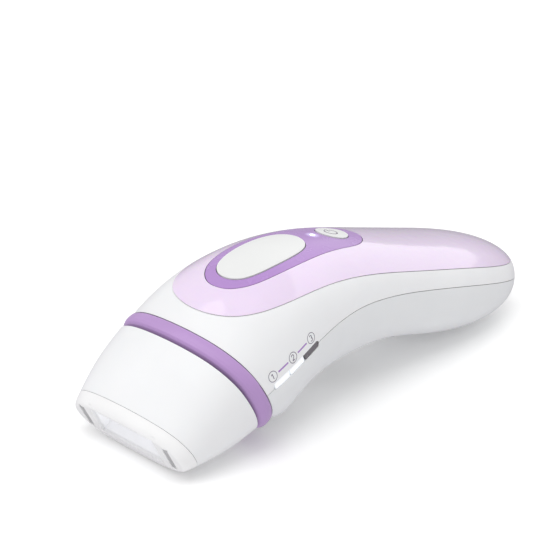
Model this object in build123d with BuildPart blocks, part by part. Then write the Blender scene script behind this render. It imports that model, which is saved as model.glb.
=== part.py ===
from build123d import *

import os
from math import cos, pi, radians, sin

# A handheld light-pulse hair remover: a curved two-part handle with a clip-on treatment head.
# It lies belly down, as it is put on a table. +Z is up, the treatment head points to -X and the
# tail to +X, and the whole device is symmetric about the XZ plane apart from its level display,
# which is on the -Y side. The origin is under the middle of its bounding box, on the table.

os.makedirs("parts", exist_ok=True)

# --- Driving dimensions, in millimetres and degrees ---------------------------------------------

head_tilt = 30.0  # the head's axis points this far below the horizontal
collar_x, collar_z = -65.4, 20.4  # centre of the collar ring's front plane
collar_width, collar_height = 62.6, 41.4
collar_depth = 6.4
collar_power = 2.55  # 2 is an ellipse, and more is squarer

# The body's stations, from the collar to the tail: x, z, tilt, half width, half height, power.
stations = [
    (-59.9, 23.6, 30.0, 31.0, 20.4, 2.55),
    (-45.4, 28.8, 17.5, 30.7, 24.3, 2.40),
    (-24.0, 33.6, 1.0, 28.0, 23.8, 2.25),
    (4.9, 32.2, -10.0, 25.6, 20.6, 2.20),
    (20.0, 29.5, -13.0, 25.1, 19.0, 2.20),
    (45.1, 22.9, -14.0, 25.0, 18.4, 2.20),
    (76.0, 15.9, -12.0, 21.3, 15.9, 2.20),
    (90.8, 13.5, -9.0, 15.2, 11.5, 2.20),
    (95.4, 12.9, -8.0, 11.2, 8.8, 2.20),
    (97.2, 12.7, -8.0, 8.4, 6.8, 2.20),
]
outline_points = 16

cover_thickness = 1.6
upper_wall = 3.4  # the wall that carries the cover, with the cover's own thickness
lower_wall = 2.2
seam = 0.2  # visible gap between neighbouring casings
running_gap = 0.25  # between a button and the hole it moves in

# The two casing seams, as side-view curves of (x, z).
parting_points = [
    (-74.0, 17.2), (-59.2, 24.6), (-46.0, 30.5), (-30.0, 35.6), (-12.8, 38.2),
    (5.0, 37.0), (29.0, 32.3), (57.0, 25.4), (82.0, 18.2), (106.0, 11.0),
]
cover_points = [
    (-74.0, 44.1), (-64.2, 46.0), (-52.0, 47.9), (-38.0, 49.3), (-22.0, 49.4),
    (-4.0, 47.0), (23.0, 40.4), (42.4, 35.3), (61.0, 30.2), (82.0, 24.0), (104.0, 18.0),
]

flash_x, flash_z, flash_slope = -32.8, 55.9, 6.0
flash_half_length, flash_half_width, flash_power = 17.8, 9.2, 2.57
mode_x, mode_z, mode_slope = 2.3, 54.0, -11.0
mode_half_length, mode_half_width = 6.1, 5.6
button_proud = 0.35
flash_travel = 1.0
ready_light_x, ready_light_radius = -7.6, 0.9

# The purple surround of the buttons, seen from above: x and half width.
surround_outline = [
    (-54.8, 0.0), (-53.6, 5.0), (-49.0, 9.7), (-40.0, 12.4), (-28.0, 12.9), (-15.0, 12.0),
    (-3.0, 11.0), (5.0, 9.9), (10.4, 7.2), (13.2, 3.6), (13.8, 0.0),
]

level_x, level_z, level_slope = -45.8, 30.2, 19.7  # centre of the level display's slot
level_length, level_width = 24.6, 2.5
level_bars, level_bar_gap = 3, 0.9

head_length = 30.0  # from the collar to the face that touches the skin
nose_depth = 25.4  # where the head shell meets the nose
nose_seam = 0.12  # visible gap between the head shell and the nose
head_root = (30.4, 19.7, 0.8)  # half width, half height and rise at the collar
head_face = (25.9, 8.8, 2.8)  # the same at the face
head_bulge, head_power = 1.3, 2.6
head_wall = 2.0
window_width, window_height = 30.0, 12.0
window_glass_depth = 10.0  # from the face to the head's own window
sensor_width, sensor_length, sensor_offset = 2.6, 9.8, 20.1
sensor_recess = 0.3

inlet_radius, inlet_depth = 2.85, 7.0  # the power plug's barrel hole
inlet_body_radius = 4.4

fan_x, fan_z, fan_size, fan_height = 3.0, 19.5, 27.0, 8.0  # the fan's frame, from its underside
exhaust_x, vent_pitch, vent_width = -38.5, 4.0, 1.7

# Four screws hold the two body shells together, from below.
shell_screw_points = [(-32.0, 17.0), (-32.0, -17.0), (20.6, 14.0), (20.6, -14.0)]
screw_seat, screw_length, screw_hole_radius = 15.5, 25.0, 1.35

button_board_z, button_board_thickness = 44.4, 1.4  # the board's top, and its thickness
stem_radius = 1.8
main_board_length, main_board_width, main_board_thickness = 56.0, 27.0, 1.6
capacitor_radius, capacitor_length = 7.0, 38.0
window_rise = 4.1  # the light window's centre, above the head's axis
guide_wall = 0.8
lamp_depth, lamp_radius, lamp_length = -17.0, 2.5, 32.0
chamber_front, chamber_back = -8.9, -25.0
chamber_half_width, chamber_half_height = 20.5, 8.0

# --- Planes -------------------------------------------------------------------------------------


def station_plane(x, z, tilt):
    """A section of the body: local x is the width, local y is up, and its normal points aft."""
    normal = (cos(radians(tilt)), 0, sin(radians(tilt)))
    return Plane(origin=(x, 0, z), x_dir=(0, 1, 0), z_dir=normal)


def top_plane(x, z, slope):
    """A plane on the top surface: local x runs aft, local y is the width, its normal is out."""
    along = (cos(radians(slope)), 0, sin(radians(slope)))
    normal = (-sin(radians(slope)), 0, cos(radians(slope)))
    return Plane(origin=(x, 0, z), x_dir=along, z_dir=normal)


head_axis = (-cos(radians(head_tilt)), 0, -sin(radians(head_tilt)))
# Local x is -Y, local y is up the head, and local z is the distance forward of the collar.
head_plane = Plane(origin=(collar_x, 0, collar_z), x_dir=(0, -1, 0), z_dir=head_axis)
flash_plane = top_plane(flash_x, flash_z, flash_slope)
mode_plane = top_plane(mode_x, mode_z, mode_slope)
side_plane = Plane(origin=(0, 0, 0), x_dir=(1, 0, 0), z_dir=(0, -1, 0))

# --- Outlines and forms -------------------------------------------------------------------------


def oval(half_width, half_height, power=2.0, rise=0.0):
    """Points around a rounded oval, from an ellipse towards a rounded rectangle."""
    points = []
    for step in range(outline_points):
        angle = 2 * pi * (step + 0.5) / outline_points
        c, s = cos(angle), sin(angle)
        across = half_width * abs(c) ** (2 / power) * (1 if c > 0 else -1)
        up = half_height * abs(s) ** (2 / power) * (1 if s > 0 else -1)
        points.append((across, up + rise))
    return points


def body_form(inset, hollow=False, reach=3.0):
    """The body's outer form drawn inwards by inset, or its hollow, which is closed behind and
    reaches out in front."""
    used = stations[:-1] if hollow else stations
    with BuildPart() as form:
        for number, (x, z, tilt, half_width, half_height, power) in enumerate(used):
            plane = station_plane(x, z, tilt)
            if hollow and number == 0:
                plane = plane.offset(-reach)
            if hollow and number == len(used) - 1:
                plane = plane.offset(-1)
            with BuildSketch(plane):
                with BuildLine():
                    Spline(*oval(half_width - inset, half_height - inset, power), periodic=True)
                make_face()
        loft()
    return form.part


def head_section(depth):
    """Half width, half height and rise of the head at a distance forward of the collar."""
    share = depth / head_length
    bulge = head_bulge * sin(pi * share)
    half_width, half_height, rise = (root + (face - root) * share
                                     for root, face in zip(head_root, head_face))
    return half_width + bulge, half_height + bulge, rise


def head_form(inset, start, stop):
    """The head's outer form between two depths, drawn inwards by inset."""
    with BuildPart() as form:
        for step in range(5):
            depth = start + (stop - start) * step / 4
            half_width, half_height, rise = head_section(depth)
            outline = oval(half_width - inset, half_height - inset, head_power, rise)
            with BuildSketch(head_plane.offset(depth)):
                with BuildLine():
                    Spline(*outline, periodic=True)
                make_face()
        loft()
    return form.part


def region(curve, shift, floor):
    """The part of the side view between a seam curve, moved up by shift, and a level floor."""
    points = [(x, z + shift) for x, z in curve]
    with BuildPart() as block:
        with BuildSketch(side_plane):
            with BuildLine():
                Spline(*points)
                Polyline(points[-1], (points[-1][0], floor), (points[0][0], floor), points[0])
            make_face()
        extrude(amount=45, both=True)
    return block.part


def plan_prism(grow):
    """The button surround's outline, seen from above and grown sideways, as a tall block."""
    middle = (surround_outline[0][0] + surround_outline[-1][0]) / 2
    half = (surround_outline[-1][0] - surround_outline[0][0]) / 2
    side = [(middle + (x - middle) * (1 + grow / half), y + (grow if y else 0))
            for x, y in surround_outline]
    mirrored = [(x, -y) for x, y in side[-2:0:-1]]
    with BuildPart() as block:
        with BuildSketch(Plane.XY.offset(40)):
            with BuildLine():
                Spline(*side, *mirrored, periodic=True)
            make_face()
        extrude(amount=30)
    return block.part


def oval_prism(plane, half_length, half_width, power, low, high):
    """An oval block on a plane, between two heights along the plane's normal."""
    with BuildPart() as block:
        with BuildSketch(plane.offset(low)):
            with BuildLine():
                Spline(*oval(half_length, half_width, power), periodic=True)
            make_face()
        extrude(amount=high - low)
    return block.part


outer_form = body_form(0)
under_cover_form = body_form(cover_thickness)
pocket_form = body_form(cover_thickness + 0.1)
upper_inner_form = body_form(upper_wall, hollow=True)
lower_inner_form = body_form(lower_wall, hollow=True, reach=0.6)
raised_form = body_form(-button_proud)
bar_form = body_form(0.15)
pillar_form = body_form(0.9)

below_parting = region(parting_points, -seam / 2, -20)
above_parting = region(parting_points, seam / 2, 90)
cover_region = region(cover_points, 0, 90)
pocket_region = region(cover_points, -seam, 90)

flash_hole = oval_prism(flash_plane, flash_half_length + running_gap,
                        flash_half_width + running_gap, flash_power, -14, 8)
mode_hole = oval_prism(mode_plane, mode_half_length + running_gap,
                       mode_half_width + running_gap, 2.0, -12, 8)

with BuildPart() as level_slot_block:
    with BuildSketch(side_plane.offset(20)):
        with Locations((level_x, level_z)):
            SlotOverall(level_length, level_width, rotation=level_slope)
    extrude(amount=20)
level_slot = level_slot_block.part

with BuildPart() as ready_light_hole:
    with Locations((ready_light_x, 0, 50)):
        Cylinder(ready_light_radius + 0.1, 30)

tail_plane = station_plane(*stations[-1][:3])

with BuildPart() as inlet_hole:
    with BuildSketch(tail_plane.offset(-20)):
        Circle(inlet_body_radius + 0.1)
    extrude(amount=25)

with BuildPart() as screw_pillars:
    for x, y in shell_screw_points:
        with Locations((x, y, 0)):
            Cylinder(3.7, 80, align=(Align.CENTER, Align.CENTER, Align.MIN))
    add(pillar_form, mode=Mode.INTERSECT)

with BuildPart() as screw_holes:
    for x, y in shell_screw_points:
        with Locations((x, y, screw_seat)):
            Cylinder(2.6, 40, align=(Align.CENTER, Align.CENTER, Align.MAX))
            Cylinder(screw_hole_radius, 60)

with BuildPart() as boss_holes:
    for x, y in shell_screw_points:
        with Locations((x, y, screw_seat)):
            Cylinder(screw_hole_radius, screw_length + 1,
                     align=(Align.CENTER, Align.CENTER, Align.MIN))


def export(part, name):
    part.label = name
    export_step(part, f"parts/{name}.step")


# --- Body shells --------------------------------------------------------------------------------

with BuildPart() as lower_shell:
    add((outer_form - lower_inner_form) & below_parting)
    add(screw_pillars.part & below_parting, clean=False)
    add(screw_holes.part, mode=Mode.SUBTRACT, clean=False)
    add(inlet_hole.part, mode=Mode.SUBTRACT, clean=False)
    add(level_slot, mode=Mode.SUBTRACT, clean=False)
    # Exhaust slots under the lamp, and intake slots under the fan.
    with BuildSketch(Plane.XY.offset(-5)):
        with Locations((exhaust_x, 0)):
            with GridLocations(vent_pitch, 0, 5, 1):
                SlotOverall(24, vent_width, rotation=90)
        with Locations((fan_x, 0)):
            with GridLocations(vent_pitch, 0, 6, 1):
                SlotOverall(20, vent_width, rotation=90)
    extrude(amount=23, mode=Mode.SUBTRACT, clean=False)
export(lower_shell.part, "lower_shell")

cover_pocket = (raised_form - pocket_form) & pocket_region

with BuildPart() as upper_shell:
    add((outer_form - upper_inner_form) & above_parting)
    add(screw_pillars.part & above_parting, clean=False)
    add(boss_holes.part, mode=Mode.SUBTRACT, clean=False)
    add(inlet_hole.part, mode=Mode.SUBTRACT, clean=False)
    add(cover_pocket, mode=Mode.SUBTRACT, clean=False)
    add(flash_hole, mode=Mode.SUBTRACT, clean=False)
    add(mode_hole, mode=Mode.SUBTRACT, clean=False)
    add(ready_light_hole.part, mode=Mode.SUBTRACT, clean=False)
    add(level_slot, mode=Mode.SUBTRACT, clean=False)
export(upper_shell.part, "upper_shell")

with BuildPart() as decor_cover:
    add(outer_form)
    add(under_cover_form, mode=Mode.SUBTRACT, clean=False)
    add(cover_region, mode=Mode.INTERSECT, clean=False)
    add(plan_prism(seam), mode=Mode.SUBTRACT, clean=False)
export(decor_cover.part, "decor_cover")

with BuildPart() as button_surround:
    add(outer_form)
    add(under_cover_form, mode=Mode.SUBTRACT, clean=False)
    add(plan_prism(0), mode=Mode.INTERSECT, clean=False)
    add(flash_hole, mode=Mode.SUBTRACT, clean=False)
    add(mode_hole, mode=Mode.SUBTRACT, clean=False)
    add(ready_light_hole.part, mode=Mode.SUBTRACT, clean=False)
export(button_surround.part, "button_surround")

# --- Buttons and lights -------------------------------------------------------------------------

with BuildPart() as flash_button:
    add(oval_prism(flash_plane, flash_half_length, flash_half_width, flash_power, -6.5, 8))
    add(raised_form, mode=Mode.INTERSECT)
    add(oval_prism(flash_plane, flash_half_length - 1.4, flash_half_width - 1.4, flash_power,
                   -7, -2.6), mode=Mode.SUBTRACT)
    with Locations(flash_plane.offset(-7)):
        Cylinder(stem_radius, 5, align=(Align.CENTER, Align.CENTER, Align.MIN))
    # The finger dish: a very long and shallow ellipsoid.
    with BuildPart(mode=Mode.PRIVATE) as dish:
        with Locations(flash_plane.offset(5.2)):
            add(scale(Sphere(6), by=(16, 3.8, 1)))
    add(dish.part, mode=Mode.SUBTRACT)
export(flash_button.part, "flash_button")

with BuildPart() as mode_button:
    add(oval_prism(mode_plane, mode_half_length, mode_half_width, 2.0, -5.4, 8))
    add(raised_form, mode=Mode.INTERSECT)
    add(oval_prism(mode_plane, mode_half_length - 1.3, mode_half_width - 1.3, 2.0, -6, -2.6),
        mode=Mode.SUBTRACT)
    with Locations(mode_plane.offset(-6.6)):
        Cylinder(stem_radius, 5, align=(Align.CENTER, Align.CENTER, Align.MIN))
export(mode_button.part, "mode_button")

with BuildPart() as ready_light:
    with Locations((ready_light_x, 0, 48)):
        Cylinder(ready_light_radius, 14, align=(Align.CENTER, Align.CENTER, Align.MIN))
    add(outer_form, mode=Mode.INTERSECT)
export(ready_light.part, "ready_light")

bar_length = (level_length - 0.5) / level_bars
bar_names = ["level_light_low", "level_light_mid", "level_light_high"]
for number, name in enumerate(bar_names):
    with BuildPart() as level_light:
        with BuildSketch(side_plane.offset(27)):
            with Locations((level_x, level_z)):
                SlotOverall(level_length - 0.2, level_width - 0.2, rotation=level_slope)
            shift = (number - 1) * bar_length
            centre = (level_x + shift * cos(radians(level_slope)),
                      level_z + shift * sin(radians(level_slope)))
            with Locations(centre):
                Rectangle(bar_length - level_bar_gap, 6, rotation=level_slope, mode=Mode.INTERSECT)
        extrude(amount=15)
        add(bar_form, mode=Mode.INTERSECT)
    export(level_light.part, name)

# --- Collar and front bulkhead ------------------------------------------------------------------


def head_oval(depth, half_width, half_height, rise=0.0, power=collar_power):
    """A rounded oval across the head's axis, at a distance forward of the collar."""
    with BuildSketch(head_plane.offset(depth)) as section:
        with BuildLine():
            Spline(*oval(half_width, half_height, power, rise), periodic=True)
        make_face()
    return section.sketch


port_half_width, port_half_height = 28.3, 17.7
collar_half_width, collar_half_height = collar_width / 2, collar_height / 2

# The ring's outline: distance forward of the collar's front plane, and how much it is grown.
ring_profile = [(-collar_depth + seam, -0.4), (-5.6, 0.0), (-4.2, 0.2), (-2.9, 0.15),
                (-1.9, -0.15), (-1.1, -0.75), (-0.1, -1.9)]

with BuildPart() as collar_ring:
    for depth, grown in ring_profile:
        add(head_oval(depth, collar_half_width + grown, collar_half_height + grown))
    loft(ruled=True)
    with BuildPart(mode=Mode.PRIVATE) as ring_hole:
        extrude(head_oval(-collar_depth - 1, port_half_width, port_half_height), dir=head_axis,
                amount=collar_depth + 2)
    add(ring_hole.part, mode=Mode.SUBTRACT)
export(collar_ring.part, "collar_ring")

latch_y, latch_height, latch_thickness = 24.4, 8.0, 1.6
contact_rise = -9.5
contact_offsets = [-6.0, -2.0, 2.0, 6.0]

with BuildPart() as front_bulkhead:
    extrude(head_oval(-8.4, 27.0, 16.4), dir=head_axis,
            amount=2.0)
    extrude(head_oval(-6.4, port_half_width - 0.1, port_half_height - 0.1), dir=head_axis,
            amount=2.6)
    # The light port, with a ledge for the filter glass.
    with BuildSketch(head_plane.offset(-9)):
        with Locations((0, window_rise)):
            Rectangle(31, 13)
    extrude(amount=6, mode=Mode.SUBTRACT)
    with BuildSketch(head_plane.offset(-5.7)):
        with Locations((0, window_rise)):
            Rectangle(35, 16)
    extrude(amount=4, mode=Mode.SUBTRACT)
    # Slots that the head's latches pass through, and the holes of the contact pins.
    with BuildSketch(head_plane.offset(-9)):
        with Locations((-latch_y - 0.2, 0), (latch_y + 0.2, 0)):
            Rectangle(4.2, latch_height + 0.8)
        with Locations(*[(offset, contact_rise) for offset in contact_offsets]):
            Circle(0.75)
    extrude(amount=6, mode=Mode.SUBTRACT)
export(front_bulkhead.part, "front_bulkhead")

with BuildPart() as filter_glass:
    with BuildSketch(head_plane.offset(-5.6)):
        with Locations((0, window_rise)):
            Rectangle(34.8, 15.8)
    extrude(amount=1.6)
export(filter_glass.part, "filter_glass")

with BuildPart() as contact_pins:
    with BuildSketch(head_plane.offset(-10)):
        with Locations(*[(offset, contact_rise) for offset in contact_offsets]):
            Circle(0.7)
    extrude(amount=8.6)
    with BuildSketch(head_plane.offset(-9.9)):
        with Locations((0, contact_rise)):
            Rectangle(16, 3.2)
    extrude(amount=1.3)
export(contact_pins.part, "contact_pins")

# --- Lamp ---------------------------------------------------------------------------------------

with BuildPart() as lamp_chamber:
    with BuildSketch(head_plane.offset(chamber_back)):
        with Locations((0, window_rise)):
            RectangleRounded(2 * chamber_half_width, 2 * chamber_half_height, 3)
    extrude(amount=chamber_front - chamber_back)
    with BuildSketch(head_plane.offset(chamber_back + 1.5)):
        with Locations((0, window_rise)):
            Rectangle(2 * chamber_half_width - 7, 2 * chamber_half_height - 2.4)
    extrude(amount=chamber_front - chamber_back, mode=Mode.SUBTRACT)
    # The lamp's two ends stick out through the end walls.
    with Locations(head_plane.offset(lamp_depth)):
        with Locations(Location((0, window_rise, 0), (0, 90, 0))):
            Cylinder(lamp_radius + 0.15, 60, mode=Mode.SUBTRACT)
export(lamp_chamber.part, "lamp_chamber")

# The reflector is a parabolic trough of sheet, open towards the head.
reflector_back, reflector_length, reflector_half_height = -22.8, 12.5, 6.1
reflector_sheet, reflector_half_width = 0.5, 16.3
# Local x is the distance forward of the collar, and local y is down the head.
trough_plane = Plane(origin=(collar_x, 0, collar_z), x_dir=head_axis, z_dir=(0, -1, 0))


def trough_points(grow):
    """The parabola's points, moved outwards by grow, as a distance and a height down the head."""
    points = []
    for step in range(21):
        share = step / 10 - 1
        slope = Vector(2 * reflector_length * share, reflector_half_height).normalized()
        depth = reflector_back + reflector_length * share ** 2 - grow * slope.Y
        height = reflector_half_height * share + grow * slope.X
        points.append((depth, height - window_rise))
    return points


with BuildPart() as reflector:
    with BuildSketch(trough_plane.offset(-reflector_half_width)):
        with BuildLine():
            Polyline(*trough_points(0), *reversed(trough_points(reflector_sheet)), close=True)
        make_face()
    extrude(amount=2 * reflector_half_width)
export(reflector.part, "reflector")

with BuildPart() as flash_lamp:
    with Locations(head_plane.offset(lamp_depth)):
        with Locations(Location((0, window_rise, 0), (0, 90, 0))):
            Cylinder(lamp_radius, lamp_length)
            Cylinder(lamp_radius - 0.7, lamp_length, mode=Mode.SUBTRACT)
export(flash_lamp.part, "flash_lamp")

for side, name in ((-1, "lamp_end_left"), (1, "lamp_end_right")):
    with BuildPart() as lamp_end:
        with Locations(head_plane.offset(lamp_depth)):
            with Locations(Location((side * (lamp_length / 2 + 2.1), window_rise, 0), (0, 90, 0))):
                Cylinder(lamp_radius, 4)
            with Locations(Location((side * (lamp_length / 2 + 5), window_rise, 0), (0, 90, 0))):
                Cylinder(1.0, 3)
    export(lamp_end.part, name)

# --- Head ---------------------------------------------------------------------------------------

head_gap = 0.35  # between the head and the collar, where the head clips on
base_front = 3.6  # the front of the base plate inside the head
guide_outer_width = window_width + 2 * guide_wall
guide_outer_height = window_height + 2 * guide_wall


def window_area(depth, width, height):
    """A rectangle on the light window's centre, at a distance forward of the collar."""
    with BuildSketch(head_plane.offset(depth)) as area:
        with Locations((0, window_rise)):
            Rectangle(width, height)
    return area.sketch


with BuildPart() as head_shell:
    add(head_form(0, head_gap, nose_depth - nose_seam / 2))
    add(head_form(head_wall, -1, nose_depth + 1), mode=Mode.SUBTRACT)
export(head_shell.part, "head_shell")

# The face's rounded rim: distance back from the face, and how far the outline is drawn in.
nose_rim = [(head_length - nose_depth - nose_seam / 2, 0.0), (3.4, 0.0), (1.6, 0.05), (0.5, 0.4),
            (0.0, 1.1)]
face_wall = 2.2
guide_front = head_length - 1.1  # the light guide's front rim is let into the nose
sensor_back = head_length - 2.8
sensor_rise = window_rise - 0.6
sensor_board_front = 23.4

with BuildPart() as nose_plate:
    for back, drawn_in in nose_rim:
        depth = head_length - back
        half_width, half_height, rise = head_section(depth)
        add(head_oval(depth, half_width - drawn_in, half_height - drawn_in, rise, head_power))
    loft()
    # Hollow behind the face, open towards the head shell.
    with BuildPart(mode=Mode.PRIVATE) as nose_hollow:
        for depth in (nose_depth - 1, head_length - face_wall):
            half_width, half_height, rise = head_section(depth)
            add(head_oval(depth, half_width - head_wall, half_height - head_wall, rise,
                          head_power))
        loft()
    add(nose_hollow.part, mode=Mode.SUBTRACT)
    extrude(window_area(nose_depth - 2, window_width, window_height), dir=head_axis,
            amount=12, mode=Mode.SUBTRACT)
    guide_pocket = window_area(nose_depth - 2, guide_outer_width + 0.2, guide_outer_height + 0.2)
    extrude(guide_pocket, dir=head_axis, amount=guide_front + 0.1 - nose_depth + 2,
            mode=Mode.SUBTRACT)
    with BuildSketch(head_plane.offset(head_length - face_wall - 1)):
        with Locations((-sensor_offset, sensor_rise), (sensor_offset, sensor_rise)):
            Rectangle(sensor_width + 0.1, sensor_length + 0.1)
    extrude(amount=6, mode=Mode.SUBTRACT)
export(nose_plate.part, "nose_plate")

for side, name in ((1, "skin_sensor_left"), (-1, "skin_sensor_right")):
    with BuildPart() as skin_sensor:
        with BuildSketch(head_plane.offset(sensor_back)):
            with Locations((side * sensor_offset, sensor_rise)):
                Rectangle(sensor_width, sensor_length)
        extrude(amount=head_length - sensor_back - sensor_recess)
        with BuildSketch(head_plane.offset(sensor_board_front + 0.2)):
            with Locations((side * sensor_offset, sensor_rise)):
                Rectangle(0.8, 3.0)
        extrude(amount=sensor_back - sensor_board_front - 0.2)
    export(skin_sensor.part, name)

for side, name in ((1, "sensor_board_left"), (-1, "sensor_board_right")):
    with BuildPart() as sensor_board:
        with BuildSketch(head_plane.offset(sensor_board_front)):
            with Locations((side * (sensor_offset + 0.3), sensor_rise)):
                Rectangle(6.4, 9.0)
        extrude(amount=-1.0)
    export(sensor_board.part, name)

with BuildPart() as light_guide:
    extrude(window_area(base_front, guide_outer_width, guide_outer_height), dir=head_axis,
            amount=guide_front - base_front)
    extrude(window_area(3, window_width, window_height), dir=head_axis,
            amount=30, mode=Mode.SUBTRACT)
    # The flange that the head's base holds.
    extrude(window_area(base_front, guide_outer_width + 2.4, guide_outer_height + 2.4),
            dir=head_axis, amount=1.2)
    extrude(window_area(3, window_width, window_height), dir=head_axis,
            amount=4, mode=Mode.SUBTRACT)
export(light_guide.part, "light_guide")

with BuildPart() as head_window:
    pane = window_area(head_length - window_glass_depth - 1.2, window_width - 0.1,
                       window_height - 0.1)
    extrude(pane, dir=head_axis, amount=1.2)
export(head_window.part, "head_window")

with BuildPart() as head_base:
    half_width, half_height, rise = head_section(base_front)
    base_inset = head_wall + running_gap
    extrude(head_oval(base_front - 2, half_width - base_inset, half_height - base_inset, rise,
                      head_power), dir=head_axis, amount=2.0)
    extrude(window_area(0, window_width, window_height), dir=head_axis,
            amount=6, mode=Mode.SUBTRACT)
    # The two latches reach back through the bulkhead, each with a hook at its end.
    for side in (-1, 1):
        with BuildSketch(head_plane.offset(-10.4)):
            with Locations((side * latch_y, 0)):
                Rectangle(latch_thickness, latch_height)
        extrude(amount=12.4)
        with BuildSketch(head_plane.offset(-10.4)):
            with Locations((side * (latch_y + 1.1), 0)):
                Rectangle(1.2, latch_height)
        extrude(amount=1.4)
    # A groove for the contact strip.
    with BuildSketch(head_plane.offset(1)):
        with Locations((0, contact_rise)):
            Rectangle(16.4, 3.4)
    extrude(amount=1.2, mode=Mode.SUBTRACT)
export(head_base.part, "head_base")

with BuildPart() as contact_pads:
    with BuildSketch(head_plane.offset(1.2)):
        with Locations((0, contact_rise)):
            Rectangle(16.2, 3.2)
    extrude(amount=0.95)
    with BuildSketch(head_plane.offset(-0.9)):
        with Locations(*[(offset, contact_rise) for offset in contact_offsets]):
            RectangleRounded(2.4, 2.6, 0.4)
    extrude(amount=2.2)
export(contact_pads.part, "contact_pads")

# --- Switches, boards and lights inside ---------------------------------------------------------

board_plane = Plane.XY.offset(button_board_z)

with BuildPart() as button_board:
    with BuildSketch(board_plane):
        with Locations((-16.5, 0)):
            RectangleRounded(53, 15, 2)
        with Locations((-40, 0), (7, 0)):
            Circle(1.2, mode=Mode.SUBTRACT)
    extrude(amount=-button_board_thickness)
export(button_board.part, "button_board")


def tact_switch(x, height, plunger):
    """A push switch on the button board: a square case with a round plunger."""
    with BuildPart() as switch:
        with Locations((x, 0, button_board_z)):
            Box(6, 6, height, align=(Align.CENTER, Align.CENTER, Align.MIN))
            Cylinder(1.7, height + plunger, align=(Align.CENTER, Align.CENTER, Align.MIN))
    return switch.part


export(tact_switch(flash_x + 0.8, 2.2, 0.8), "flash_switch")
export(tact_switch(mode_x - 1.3, 1.4, 0.5), "mode_switch")

with BuildPart() as ready_led:
    with Locations((ready_light_x, 0, button_board_z)):
        Box(2.4, 2.0, 1.4, align=(Align.CENTER, Align.CENTER, Align.MIN))
        Cylinder(0.7, 2.2, align=(Align.CENTER, Align.CENTER, Align.MIN))
export(ready_led.part, "ready_led")

with BuildPart() as level_board:
    with BuildSketch(side_plane.offset(22.4)):
        with Locations((level_x + 1.5, level_z - 0.5)):
            Rectangle(22, 6, rotation=level_slope)
    extrude(amount=1.2)
    with BuildSketch(side_plane.offset(23.6)):
        for number in range(level_bars):
            shift = (number - 1) * bar_length
            with Locations((level_x + shift * cos(radians(level_slope)),
                            level_z + shift * sin(radians(level_slope)))):
                Rectangle(3.0, 1.6, rotation=level_slope)
    extrude(amount=1.0)
export(level_board.part, "level_board")

# --- Fan ----------------------------------------------------------------------------------------

fan_hole_radius, fan_hub_radius, fan_shaft_radius = 12.4, 4.6, 0.8
fan_blades = 7

with BuildPart() as fan_frame:
    with Locations((fan_x, 0, fan_z)):
        Box(fan_size, fan_size, fan_height, align=(Align.CENTER, Align.CENTER, Align.MIN))
        Cylinder(fan_hole_radius, 60, mode=Mode.SUBTRACT)
    with BuildSketch(Plane.XY.offset(fan_z + fan_height - 1.2)):
        with Locations((fan_x, 0)):
            Circle(fan_hub_radius)
            with PolarLocations(9, 3, 30):
                Rectangle(9, 1.6)
    extrude(amount=1.2)
    with Locations((fan_x, 0, fan_z + fan_height - 1.2)):
        Cylinder(fan_shaft_radius, 5.2, align=(Align.CENTER, Align.CENTER, Align.MAX))
export(fan_frame.part, "fan_frame")

with BuildPart() as fan_rotor:
    with Locations((fan_x, 0, fan_z + 0.6)):
        Cylinder(fan_hub_radius, 5.7, align=(Align.CENTER, Align.CENTER, Align.MIN))
    with BuildSketch(Plane.XY.offset(fan_z + 0.8)):
        with Locations((fan_x, 0)):
            with PolarLocations(7.6, fan_blades):
                Rectangle(7.6, 1.1, rotation=24)
    extrude(amount=5.2)
    with Locations((fan_x, 0, fan_z + 1.4)):
        Cylinder(fan_shaft_radius + 0.05, 20, align=(Align.CENTER, Align.CENTER, Align.MIN),
                 mode=Mode.SUBTRACT)
export(fan_rotor.part, "fan_rotor")

# --- Power electronics in the handle ------------------------------------------------------------

handle_plane = top_plane(52.0, 17.6, -13.4)  # on the main board's top

with BuildPart() as main_board:
    with BuildSketch(handle_plane):
        RectangleRounded(main_board_length, main_board_width, 2)
        with GridLocations(main_board_length - 7, 0, 2, 1):
            Circle(1.4, mode=Mode.SUBTRACT)
    extrude(amount=-main_board_thickness)
export(main_board.part, "main_board")

with BuildPart() as flash_capacitor:
    with Locations(handle_plane.offset(capacitor_radius + 0.8)):
        with Locations(Location((-8, 0, 0), (0, 90, 0))):
            Cylinder(capacitor_radius, capacitor_length)
            fillet(flash_capacitor.edges(), 0.8)
export(flash_capacitor.part, "flash_capacitor")

with BuildPart() as capacitor_clamp:
    with Locations(handle_plane.offset(capacitor_radius + 0.8)):
        with Locations(Location((-8, 0, 0), (0, 90, 0))):
            Cylinder(capacitor_radius + 0.9, 5)
            Cylinder(capacitor_radius + 0.05, 10, mode=Mode.SUBTRACT)
    with BuildSketch(handle_plane):
        with Locations((-8, 0)):
            Rectangle(40, 40)
    extrude(amount=-10, mode=Mode.SUBTRACT)
export(capacitor_clamp.part, "capacitor_clamp")

with BuildPart() as transformer:
    with BuildSketch(handle_plane):
        with Locations((19.5, 0)):
            Rectangle(12, 13)
    extrude(amount=1.2)
    with BuildSketch(handle_plane.offset(1.2)):
        with Locations((19.5, 0)):
            RectangleRounded(9.6, 11, 1.5)
    extrude(amount=4.6)
    with BuildSketch(handle_plane.offset(5.8)):
        with Locations((19.5, 0)):
            Rectangle(12, 13)
    extrude(amount=1.2)
export(transformer.part, "transformer")

with BuildPart() as trigger_coil:
    with Locations(handle_plane.offset(2.6)):
        with Locations(Location((-17, -10.6, 0), (0, 90, 0))):
            Cylinder(1.6, 10)
            with Locations((0, 0, -4.5), (0, 0, 4.5)):
                Cylinder(2.6, 1)
export(trigger_coil.part, "trigger_coil")

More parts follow.
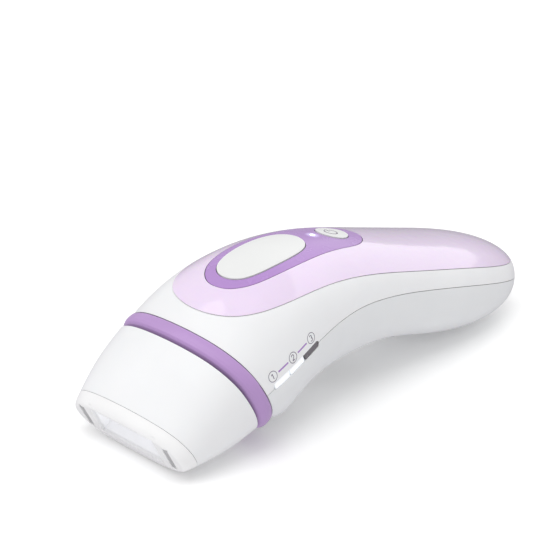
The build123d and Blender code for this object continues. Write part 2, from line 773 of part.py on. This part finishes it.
with BuildPart() as heat_sink:
    with BuildSketch(handle_plane):
        with Locations((-8, 12)):
            Rectangle(16, 0.9)
        with Locations((-8, 10.8)):
            with GridLocations(3, 0, 6, 1):
                Rectangle(0.7, 1.8)
    extrude(amount=4.2)
export(heat_sink.part, "heat_sink")

with BuildPart() as power_transistor:
    with BuildSketch(handle_plane.offset(0.6)):
        with Locations((8, 10.6)):
            Rectangle(10, 3.4)
    extrude(amount=3.0)
    with BuildSketch(handle_plane):
        with Locations((8, 10.6)):
            with GridLocations(2.5, 0, 3, 1):
                Rectangle(0.7, 0.5)
    extrude(amount=0.6)
export(power_transistor.part, "power_transistor")

# --- Power inlet --------------------------------------------------------------------------------

with BuildPart() as power_inlet:
    with BuildSketch(tail_plane.offset(-14)):
        Circle(inlet_body_radius)
    extrude(amount=14 + 0.4)
    with BuildSketch(tail_plane.offset(0.5)):
        Circle(inlet_radius)
    extrude(amount=-inlet_depth - 0.5, mode=Mode.SUBTRACT)
    with BuildSketch(tail_plane.offset(-inlet_depth)):
        Circle(1.9)
    extrude(amount=-5.6, mode=Mode.SUBTRACT)
    with BuildSketch(tail_plane.offset(-13)):
        Circle(0.5)
    extrude(amount=5.4)
export(power_inlet.part, "power_inlet")

with BuildPart() as inlet_collar:
    with BuildSketch(tail_plane.offset(0.02)):
        Circle(inlet_body_radius + 1.6)
        Circle(inlet_body_radius + 0.05, mode=Mode.SUBTRACT)
    extrude(amount=0.6)
export(inlet_collar.part, "inlet_collar")

for side, name in ((-1, "inlet_wire_left"), (1, "inlet_wire_right")):
    start = tail_plane.offset(-14.8).from_local_coords((side * 1.8, 1.5, 0))
    stop = handle_plane.from_local_coords((26.0, side * 3.6, 1.0))
    with BuildPart() as inlet_wire:
        with BuildLine():
            wire_path = Line(start, stop)
        with BuildSketch(Plane(origin=wire_path @ 0, z_dir=wire_path % 0)):
            Circle(0.8)
        sweep()
    export(inlet_wire.part, name)

with BuildPart() as shell_screws:
    for x, y in shell_screw_points:
        with Locations((x, y, screw_seat - 0.02)):
            Cylinder(2.3, 1.6, align=(Align.CENTER, Align.CENTER, Align.MAX))
            Cylinder(1.2, screw_length, align=(Align.CENTER, Align.CENTER, Align.MIN))
        with Locations((x, y, screw_seat - 1.6)):
            Box(2.6, 0.6, 0.8, mode=Mode.SUBTRACT)
            Box(0.6, 2.6, 0.8, mode=Mode.SUBTRACT)
export(shell_screws.part, "shell_screws")
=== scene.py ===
"""Looks for the handheld light-pulse hair remover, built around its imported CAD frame."""

from math import cos, pi, radians, sin

import bmesh
import bpy
from mathutils import Matrix, Vector
from mathutils.bvhtree import BVHTree


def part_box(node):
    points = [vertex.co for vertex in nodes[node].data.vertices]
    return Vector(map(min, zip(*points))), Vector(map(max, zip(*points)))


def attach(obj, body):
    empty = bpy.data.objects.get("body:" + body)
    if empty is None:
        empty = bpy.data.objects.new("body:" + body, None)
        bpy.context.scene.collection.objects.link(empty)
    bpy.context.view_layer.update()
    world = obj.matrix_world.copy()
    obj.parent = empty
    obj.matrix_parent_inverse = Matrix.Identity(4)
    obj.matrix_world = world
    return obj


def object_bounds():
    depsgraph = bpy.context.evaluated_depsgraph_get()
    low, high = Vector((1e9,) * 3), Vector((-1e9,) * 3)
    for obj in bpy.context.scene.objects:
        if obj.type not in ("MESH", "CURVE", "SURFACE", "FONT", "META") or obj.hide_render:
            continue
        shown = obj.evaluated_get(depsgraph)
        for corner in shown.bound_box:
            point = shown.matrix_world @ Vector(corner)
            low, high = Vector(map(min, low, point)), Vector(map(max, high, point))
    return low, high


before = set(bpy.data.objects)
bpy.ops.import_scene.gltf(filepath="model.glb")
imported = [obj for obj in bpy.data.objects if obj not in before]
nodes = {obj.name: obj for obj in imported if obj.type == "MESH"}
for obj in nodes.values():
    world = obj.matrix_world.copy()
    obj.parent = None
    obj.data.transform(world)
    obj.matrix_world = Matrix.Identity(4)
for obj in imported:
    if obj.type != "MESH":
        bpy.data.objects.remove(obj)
cad_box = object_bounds()
MM = 0.001

# --- Shader nodes -------------------------------------------------------------------------------


def srgb(red, green, blue):
    """A linear colour from 0 to 255 display values."""
    return tuple((v / 255) ** 2.2 for v in (red, green, blue)) + (1.0,)


def noise(tree, scale, detail):
    """A noise texture in object coordinates; scale is in features per metre."""
    place = tree.nodes.new("ShaderNodeTexCoord")
    texture = tree.nodes.new("ShaderNodeTexNoise")
    texture.inputs["Scale"].default_value = scale
    texture.inputs["Detail"].default_value = detail
    tree.links.new(place.outputs["Object"], texture.inputs["Vector"])
    return texture.outputs["Fac"]


def ramp(tree, value, low, high, start, stop):
    """Colours a value: low up to start, high from stop on, and a blend between them."""
    node = tree.nodes.new("ShaderNodeValToRGB")
    node.color_ramp.elements[0].position = start
    node.color_ramp.elements[0].color = low
    node.color_ramp.elements[1].position = stop
    node.color_ramp.elements[1].color = high
    tree.links.new(value, node.inputs["Fac"])
    return node.outputs["Color"]


def map_range(tree, value, source, target, interpolation="LINEAR"):
    """Maps a value from one range of numbers onto another, and holds it between their ends."""
    node = tree.nodes.new("ShaderNodeMapRange")
    node.interpolation_type = interpolation
    node.inputs["From Min"].default_value = source[0]
    node.inputs["From Max"].default_value = source[1]
    node.inputs["To Min"].default_value = target[0]
    node.inputs["To Max"].default_value = target[1]
    tree.links.new(value, node.inputs["Value"])
    return node.outputs["Result"]


# --- Camera and light ---------------------------------------------------------------------------

CAMERA_PLACE = Vector((-0.5012, -0.4473, 0.3419))
CAMERA_AZIMUTH, CAMERA_ELEVATION, CAMERA_ROLL = -46.6, 24.23, 2.2  # degrees
CAMERA_LENS, CAMERA_SENSOR = 140, 36  # mm


def camera_turn(azimuth, elevation, roll):
    """A rotation that looks from an azimuth (0 looks along +Y) and an elevation, with a roll."""
    az, el, turn = radians(azimuth), radians(elevation), radians(roll)
    back = Vector((sin(az) * cos(el), -cos(az) * cos(el), sin(el)))
    level = Vector((cos(az), sin(az), 0))
    above = back.cross(level)
    right = level * cos(turn) + above * sin(turn)
    up = above * cos(turn) - level * sin(turn)
    return Matrix((right, up, back)).transposed()


camera_data = bpy.data.cameras.new("camera")
camera_data.lens = CAMERA_LENS
camera_data.sensor_width = CAMERA_SENSOR
camera = bpy.data.objects.new("camera", camera_data)
camera.matrix_world = (Matrix.Translation(CAMERA_PLACE)
                       @ camera_turn(CAMERA_AZIMUTH, CAMERA_ELEVATION, CAMERA_ROLL).to_4x4())
bpy.context.scene.collection.objects.link(camera)
bpy.context.scene.camera = camera


def area_light(name, place, target, width, height, radiance):
    """A rectangular soft box that shines from a place towards a target."""
    data = bpy.data.lights.new(name, "AREA")
    data.shape = "RECTANGLE"
    data.size = width
    data.size_y = height
    data.energy = radiance * pi * width * height
    lamp = bpy.data.objects.new(name, data)
    lamp.location = place
    towards = Vector(target) - Vector(place)
    lamp.rotation_euler = towards.to_track_quat("-Z", "Y").to_euler()
    lamp.visible_camera = False
    bpy.context.scene.collection.objects.link(lamp)


# A box over the head's far shoulder, and one past the tail that the glossy cover reflects.
area_light("head_box", place=(-0.6, 0.4, 0.8), target=(-0.02, 0, 0.03), width=0.9, height=0.9,
           radiance=0.75)
area_light("cover_box", place=(1.0, 0.02, 0.78), target=(0, 0, 0.03), width=1.6, height=1.0,
           radiance=0.55)

SUN_STRENGTH = 1.12
SUN_ANGLE = radians(40)  # wide, for soft shadows
SUN_DIRECTION = Vector((0.25, 0.1, -1.0))
sun_data = bpy.data.lights.new("sun", "SUN")
sun_data.energy = SUN_STRENGTH
sun_data.angle = SUN_ANGLE
sun = bpy.data.objects.new("sun", sun_data)
sun.rotation_euler = SUN_DIRECTION.to_track_quat("-Z", "Y").to_euler()
sun.visible_glossy = False  # its round image would show as a spot on the cover
bpy.context.scene.collection.objects.link(sun)

# The studio's walls are darker than its ceiling. Heights are the upward share of a direction.
WALL_COLOUR, WALL_TOP = (0.76, 0.72, 0.8, 1), 0.12
CEILING_COLOUR, CEILING_EDGE = (1, 1, 1, 1), 0.3
STUDIO_STRENGTH = 0.56
BACKDROP_COLOUR = (0.96, 0.96, 0.96, 1)
world = bpy.data.worlds.new("studio")
world.use_nodes = True
world_tree = world.node_tree
direction = world_tree.nodes.new("ShaderNodeTexCoord")
height = world_tree.nodes.new("ShaderNodeSeparateXYZ")
world_tree.links.new(direction.outputs["Generated"], height.inputs["Vector"])
studio_colour = ramp(world_tree, height.outputs["Z"], WALL_COLOUR, CEILING_COLOUR, WALL_TOP,
                     CEILING_EDGE)
studio = world_tree.nodes["Background"]
studio.inputs["Strength"].default_value = STUDIO_STRENGTH
world_tree.links.new(studio_colour, studio.inputs["Color"])

# Seen directly, the walls are as pale as the table, so that no edge shows behind the object.
backdrop = world_tree.nodes.new("ShaderNodeBackground")
backdrop.inputs["Color"].default_value = BACKDROP_COLOUR
light_path = world_tree.nodes.new("ShaderNodeLightPath")
seen = world_tree.nodes.new("ShaderNodeMixShader")
world_tree.links.new(light_path.outputs["Is Camera Ray"], seen.inputs["Fac"])
world_tree.links.new(studio.outputs["Background"], seen.inputs[1])
world_tree.links.new(backdrop.outputs["Background"], seen.inputs[2])
world_tree.links.new(seen.outputs["Shader"], world_tree.nodes["World Output"].inputs["Surface"])
bpy.context.scene.world = world
bpy.context.scene.view_settings.view_transform = "Standard"

# --- Materials ----------------------------------------------------------------------------------

# The parts of a noise value's range over which the mottling and the roughness change.
MOTTLE_SPAN = (0.35, 0.65)
ROUGHNESS_SPAN = (0.3, 0.7)
GRAIN_DEPTH = 0.02 * MM
# Painted shade in crevices: the base colour is darkened where little of the view is open, where
# shade falls.
CREVICE_SAMPLES = 8
SHELTERED = 0.15  # the open share of the view at which a crevice is at its darkest
FINE_GAPS = (0.3, 0.8, 0.55)  # depth, reach and clear, as in shade_crevices
WIDE_GAPS = (0.3, 3.0, 0.9)


def shade_crevices(tree, colour, depth, reach, clear):
    """Paints shade into a colour: darkens it where less than the share clear of the view within
    reach mm is open.

    In the tightest crevices only the share depth of the colour is left.
    """
    shelter = tree.nodes.new("ShaderNodeAmbientOcclusion")
    shelter.samples = CREVICE_SAMPLES
    shelter.inputs["Distance"].default_value = reach * MM
    share = map_range(tree, shelter.outputs["AO"], (SHELTERED, clear), (depth, 1.0))
    darkened = tree.nodes.new("ShaderNodeVectorMath")
    darkened.operation = "SCALE"
    tree.links.new(colour, darkened.inputs[0])
    tree.links.new(share, darkened.inputs["Scale"])
    return darkened.outputs["Vector"]


def material(name, colour, variation, patch, rough, grain, bump, crevices=None, **sockets):
    """A procedural material: mottled colour, uneven roughness and a fine moulded grain.

    The mottling changes the colour by the share variation, with patch features per metre. The
    roughness wanders over the range rough. The grain has its own features per metre, and bump is
    its strength. The sockets are the shader's own, with their spaces as underscores.
    """
    made = bpy.data.materials.new(name)
    made.use_nodes = True
    tree = made.node_tree
    shader = tree.nodes["Principled BSDF"]
    dark = tuple(c * (1 - variation) for c in colour[:3]) + (1.0,)
    light = tuple(min(1.0, c * (1 + variation)) for c in colour[:3]) + (1.0,)
    mottled = ramp(tree, noise(tree, patch, 4), dark, light, *MOTTLE_SPAN)
    # Painted shade: the mottled colour is darkened in the crevices.
    if crevices:
        mottled = shade_crevices(tree, mottled, *crevices)
    tree.links.new(mottled, shader.inputs["Base Color"])
    roughness = map_range(tree, noise(tree, grain / 6, 3), ROUGHNESS_SPAN, rough)
    tree.links.new(roughness, shader.inputs["Roughness"])
    if bump:
        relief = tree.nodes.new("ShaderNodeBump")
        relief.inputs["Strength"].default_value = bump
        relief.inputs["Distance"].default_value = GRAIN_DEPTH
        tree.links.new(noise(tree, grain, 2), relief.inputs["Height"])
        tree.links.new(relief.outputs["Normal"], shader.inputs["Normal"])
    for socket, value in sockets.items():
        shader.inputs[socket.replace("_", " ")].default_value = value
    return made


def paint_glow_around(made, centre, inner, outer, strength):
    """Painted light: adds a glow that fades with the distance from a centre, as in plastic around
    a lamp.
    """
    tree = made.node_tree
    place = tree.nodes.new("ShaderNodeTexCoord")
    away = tree.nodes.new("ShaderNodeVectorMath")
    away.operation = "DISTANCE"
    away.inputs[1].default_value = centre
    tree.links.new(place.outputs["Object"], away.inputs[0])
    fade = map_range(tree, away.outputs["Value"], (inner, outer), (strength, 0.0), "SMOOTHERSTEP")
    tree.links.new(fade, tree.nodes["Principled BSDF"].inputs["Emission Strength"])


# The casing plastics get painted shade in their crevices.
casing = {"crevices": FINE_GAPS, "Coat_Weight": 0.15, "Coat_Roughness": 0.2,
          "Subsurface_Weight": 0.08, "Subsurface_Radius": (0.004, 0.0035, 0.003)}
white = material("white_plastic", srgb(242, 243, 244), 0.012, 40, (0.30, 0.36), 3500, 0.05,
                 **casing)
# The lower shell's white is greyer than the upper shell's: painted shade, for the shade on the
# underside.
lower_white_painted_shade = material("lower_plastic_painted_shade", srgb(234, 236, 237), 0.012, 40, (0.32, 0.38), 3500, 0.05,
                       **casing)
# The buttons' white is greyer than the shells': painted shade, for the shade on the buttons.
white_button = material("button_white", srgb(235, 236, 235), 0.01, 60, (0.34, 0.42), 4000, 0.06)
# The collar ring's painted crevice shade reaches 3 mm, darkening its band along the head.
violet = material("violet_plastic", srgb(186, 150, 206), 0.03, 50, (0.30, 0.38), 3000, 0.08,
                  WIDE_GAPS, Coat_Weight=0.2, Coat_Roughness=0.15)
surround_violet = material("surround_violet", srgb(180, 140, 206), 0.02, 50, (0.22, 0.3), 900,
                           0.0, FINE_GAPS, Coat_Weight=0.35, Coat_Roughness=0.2,
                           Emission_Color=(0.72, 0.80, 1.0, 1.0))
# Painted light: the violet surround glows around the ready light, though the surround is no lamp.
light_low, light_high = (Vector(corner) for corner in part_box("ready_light"))
light_centre = ((light_low.x + light_high.x) / 2, 0, light_high.z)
paint_glow_around(surround_violet, light_centre, inner=0.0006, outer=0.0034, strength=0.45)
lilac = material("lilac_cover", srgb(240, 222, 248), 0.015, 30, (0.08, 0.12), 900, 0.008,
                 Coat_Weight=1.0, Coat_Roughness=0.04, Coat_IOR=1.6, Subsurface_Weight=0.2,
                 Subsurface_Radius=(0.003, 0.002, 0.004))
nose_white = material("nose_plastic", srgb(246, 246, 246), 0.01, 60, (0.28, 0.34), 3500, 0.05,
                      Coat_Weight=0.15, Coat_Roughness=0.2)
sensor_grey = material("sensor_plastic", srgb(180, 180, 182), 0.05, 300, (0.4, 0.55), 5000, 0.15)
dark_plastic = material("dark_plastic", srgb(62, 58, 66), 0.1, 80, (0.45, 0.6), 2500, 0.3)
black_plastic = material("black_plastic", srgb(38, 38, 40), 0.12, 80, (0.4, 0.6), 2500, 0.3)
board_green = material("board_green", srgb(38, 98, 62), 0.2, 900, (0.25, 0.45), 1800, 0.3)
gold = material("gold_plate", srgb(222, 184, 96), 0.06, 400, (0.18, 0.3), 3000, 0.1, Metallic=1.0)
steel = material("steel", srgb(186, 186, 188), 0.08, 300, (0.25, 0.4), 3000, 0.2, Metallic=1.0)
mirror_metal = material("reflector_metal", srgb(226, 228, 232), 0.03, 200, (0.05, 0.12), 2000,
                        0.05, Metallic=1.0)
quartz = material("quartz", srgb(250, 250, 250), 0.01, 100, (0.03, 0.06), 800, 0.02,
                  Transmission_Weight=0.9, IOR=1.46)
filter_red = material("filter_coating", srgb(226, 148, 120), 0.05, 60, (0.03, 0.06), 800, 0.02,
                      Transmission_Weight=0.7, IOR=1.5, Coat_Weight=1.0)
capacitor_sleeve = material("capacitor_sleeve", srgb(38, 42, 88), 0.1, 200, (0.2, 0.35), 1200, 0.2)
winding = material("winding_tape", srgb(206, 168, 74), 0.12, 500, (0.35, 0.5), 2200, 0.4)
aluminium = material("heat_sink_metal", srgb(190, 192, 196), 0.06, 300, (0.3, 0.45), 2600, 0.25,
                     Metallic=1.0)
grey_plastic = material("grey_plastic", srgb(158, 156, 160), 0.04, 200, (0.35, 0.45), 3000, 0.15)
red_wire = material("red_insulation", srgb(170, 34, 34), 0.06, 200, (0.35, 0.5), 1500, 0.15)
light_off = material("light_off", srgb(112, 108, 112), 0.08, 200, (0.2, 0.3), 1500, 0.05,
                     Coat_Weight=0.5)
light_on = material("light_on", srgb(250, 250, 255), 0.01, 200, (0.2, 0.3), 1500, 0.02,
                    Emission_Color=(0.88, 0.97, 1.0, 1.0), Emission_Strength=0.26)
# The light guide and the head window glow though they are no lamps: painted light inside the
# window.
painted_glow_guide = material("painted_glow_guide", srgb(248, 248, 250), 0.01, 200, (0.25, 0.35), 1500, 0.02,
                     Emission_Color=(0.97, 0.99, 1.0, 1.0), Emission_Strength=0.12)
painted_glow_pane = material("painted_glow_pane", srgb(250, 250, 252), 0.01, 200, (0.05, 0.1), 1500, 0.02,
                    Transmission_Weight=0.4, Emission_Color=(0.97, 0.99, 1.0, 1.0),
                    Emission_Strength=0.16)
ready_on = material("ready_on", srgb(235, 240, 255), 0.01, 200, (0.2, 0.3), 1500, 0.02,
                    Emission_Color=(0.62, 0.76, 1.0, 1.0), Emission_Strength=3.0)
print_ink = material("print_ink", srgb(112, 102, 122), 0.06, 800, (0.4, 0.5), 3000, 0.1)
print_violet = material("print_violet", srgb(168, 128, 196), 0.05, 800, (0.4, 0.5), 3000, 0.1)
floor_paint = material("floor_paint", srgb(250, 250, 250), 0.004, 6, (0.45, 0.55), 300, 0.02,
                       Emission_Color=(1.0, 1.0, 1.0, 1.0), Emission_Strength=0.12)

looks = {
    "upper_shell": white, "lower_shell": lower_white_painted_shade, "head_shell": white,
    "flash_button": white_button, "mode_button": white_button, "decor_cover": lilac,
    "button_surround": surround_violet, "collar_ring": violet, "nose_plate": nose_white,
    "skin_sensor_left": sensor_grey, "skin_sensor_right": sensor_grey,
    "level_light_low": light_on, "level_light_mid": light_on, "level_light_high": light_off,
    "ready_light": ready_on, "front_bulkhead": dark_plastic, "head_base": dark_plastic,
    "lamp_chamber": dark_plastic, "filter_glass": filter_red, "contact_pins": gold,
    "contact_pads": gold, "light_guide": painted_glow_guide, "head_window": painted_glow_pane,
    "reflector": mirror_metal, "flash_lamp": quartz, "lamp_end_left": steel,
    "lamp_end_right": steel, "sensor_board_left": board_green, "sensor_board_right": board_green,
    "button_board": board_green, "level_board": board_green, "main_board": board_green,
    "flash_switch": black_plastic, "mode_switch": black_plastic, "ready_led": white_button,
    "fan_frame": black_plastic, "fan_rotor": black_plastic, "flash_capacitor": capacitor_sleeve,
    "capacitor_clamp": black_plastic, "transformer": winding, "trigger_coil": winding,
    "heat_sink": aluminium, "power_transistor": black_plastic, "power_inlet": black_plastic,
    "inlet_collar": grey_plastic, "inlet_wire_left": red_wire, "inlet_wire_right": red_wire,
    "shell_screws": steel,
}
for node_name, look in looks.items():
    piece = nodes[node_name]
    for slot in piece.material_slots:
        slot.material = look

# --- Printed marks ------------------------------------------------------------------------------

PRINT_HEIGHT, PRINT_SINK = 0.03, 0.06  # mm that a mark stands above its surface and lies below it
CAST_HEIGHT = 0.03  # metres above a mark's plane from which its points are cast onto the surface


def surface_of(node_name):
    """The CAD node's surface as a tree for ray casts, in the frame's coordinates."""
    piece = nodes[node_name]
    turn = piece.matrix_world
    points = [turn @ vertex.co for vertex in piece.data.vertices]
    faces = [tuple(polygon.vertices) for polygon in piece.data.polygons]
    return BVHTree.FromPolygons(points, faces)


def ribbon(points, width, closed):
    """The two edges of a stroke of even width along flat points."""
    edges = []
    count = len(points)
    for index, point in enumerate(points):
        before = points[(index - 1) % count if closed else max(index - 1, 0)]
        after = points[(index + 1) % count if closed else min(index + 1, count - 1)]
        along = (Vector(after) - Vector(before)).normalized()
        side = Vector((-along.y, along.x)) * width / 2
        edges.append((Vector(point) + side, Vector(point) - side))
    return edges


def printed(name, node_name, body, origin, right, up, strokes, look):
    """Thin solid strokes laid on a node: each is (points in mm, width in mm, closed).

    A stroke is drawn in the plane through the origin along right and up, and cast onto the node.
    """
    tree = surface_of(node_name)
    normal = right.cross(up).normalized()
    form = bmesh.new()
    for points, width, closed in strokes:
        rows = []
        for pair in ribbon(points, width, closed):
            row = []
            for level in (PRINT_HEIGHT, -PRINT_SINK):
                for point in pair:
                    place = origin + (right * point.x + up * point.y) * MM
                    hit = tree.ray_cast(place + normal * CAST_HEIGHT, -normal)
                    if hit[0] is None:
                        continue
                    row.append(form.verts.new(hit[0] + normal * level * MM))
            if len(row) == 4:
                rows.append(row)
        count = len(rows)
        for index in range(count if closed else count - 1):
            here, there = rows[index], rows[(index + 1) % count]
            for a, b in ((0, 1), (1, 3), (3, 2), (2, 0)):
                form.faces.new((here[a], here[b], there[b], there[a]))
        if not closed and count > 1:
            for row in (rows[0], rows[-1]):
                form.faces.new((row[0], row[1], row[3], row[2]))
    bmesh.ops.recalc_face_normals(form, faces=form.faces)
    mesh = bpy.data.meshes.new(name)
    form.to_mesh(mesh)
    form.free()
    mesh.materials.append(look)
    made = bpy.data.objects.new(name, mesh)
    bpy.context.scene.collection.objects.link(made)
    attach(made, body)


def arc(centre, radius, start, stop, count):
    """Points along an arc, with angles in degrees."""
    steps = [radians(start + (stop - start) * k / count) for k in range(count + 1)]
    return [(centre[0] + radius * cos(t), centre[1] + radius * sin(t)) for t in steps]


def circle(centre, radius, count):
    """Points around a whole circle, each of them once."""
    return arc(centre, radius, 0, 360, count)[:-1]


def line(start, stop, count):
    """Points along a straight stroke, close enough together to follow a curved surface."""
    return [(start[0] + (stop[0] - start[0]) * k / count,
             start[1] + (stop[1] - start[1]) * k / count) for k in range(count + 1)]


# The level display's ringed digits and the dashes between them, above the light bars. In mm.
LEVEL_SLOPE = radians(20)
LEVEL_MIDDLE = (-47.8, -31, 33.6)  # of the ring around the 2
DIGIT_PITCH, DIGIT_SCALE, DIGIT_STROKE = 10.3, 1.15, 0.26
RING_RADIUS, RING_STROKE = 1.8, 0.2
DASH_REACH, DASH_STROKE = 2.5, 0.55  # from a dash's middle to its ends, and its width
level_right = Vector((cos(LEVEL_SLOPE), 0, sin(LEVEL_SLOPE)))
level_up = Vector((-sin(LEVEL_SLOPE), 0, cos(LEVEL_SLOPE)))
level_origin = Vector(LEVEL_MIDDLE) * MM
# The strokes of 1, 2 and 3, each around its own middle and before scaling.
digit_shapes = [
    [line((-0.4, 0.4), (0.05, 0.85), 3) + line((0.05, 0.85), (0.05, -0.85), 4)[1:]],
    [arc((0, 0.4), 0.48, 170, -30, 10) + line((0.36, 0.1), (-0.5, -0.82), 4)[1:],
     line((-0.5, -0.82), (0.54, -0.82), 3)],
    [arc((-0.05, 0.42), 0.44, 150, -90, 10), arc((-0.05, -0.42), 0.48, 90, -150, 10)],
]
digit_strokes, dash_strokes = [], []
for number, shape in enumerate(digit_shapes):
    middle = (number - 1) * DIGIT_PITCH
    digit_strokes.append((circle((middle, 0), RING_RADIUS, 40), RING_STROKE, True))
    for stroke in shape:
        scaled = [(x * DIGIT_SCALE + middle, y * DIGIT_SCALE) for x, y in stroke]
        digit_strokes.append((scaled, DIGIT_STROKE, False))
for side in (-1, 1):
    middle = side * DIGIT_PITCH / 2
    dash = line((middle - DASH_REACH, 0), (middle + DASH_REACH, 0), 8)
    dash_strokes.append((dash, DASH_STROKE, False))
printed("level_digits", "upper_shell", "body", level_origin, level_right, level_up,
        digit_strokes, print_ink)
printed("level_dashes", "upper_shell", "body", level_origin, level_right, level_up,
        dash_strokes, print_violet)

POWER_RADIUS, POWER_STROKE = 2.3, 0.42  # mm
POWER_TOP, POWER_FOOT = 3.0, 0.6  # the bar's two ends, in mm from the middle
mode_low, mode_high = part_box("mode_button")
mode_origin = Vector(((mode_low[0] + mode_high[0]) / 2, 0, mode_high[2]))
power_strokes = [(arc((0, 0), POWER_RADIUS, 60, -240, 36), POWER_STROKE, False),
                 (line((0, POWER_TOP), (0, POWER_FOOT), 6), POWER_STROKE, False)]
# The symbol reads from the side that the level display is on, so its up is across the handle.
printed("power_symbol", "mode_button", "mode_button", mode_origin, Vector((1, 0, 0)),
        Vector((0, 1, 0)), power_strokes, print_ink)

# --- Floor --------------------------------------------------------------------------------------

FLOOR_REACH = 6  # metres from the middle to each side
FLOOR_DROP = 0.0001  # metres below the object's lowest point
floor_mesh = bpy.data.meshes.new("floor")
floor_form = bmesh.new()
bmesh.ops.create_grid(floor_form, x_segments=2, y_segments=2, size=FLOOR_REACH)
floor_form.to_mesh(floor_mesh)
floor_form.free()
floor = bpy.data.objects.new("floor", floor_mesh)
floor.location.z = cad_box[0][2] - FLOOR_DROP
floor_mesh.materials.append(floor_paint)
bpy.context.scene.collection.objects.link(floor)
floor.visible_glossy = False  # the white table would bleach the gloss along the outline
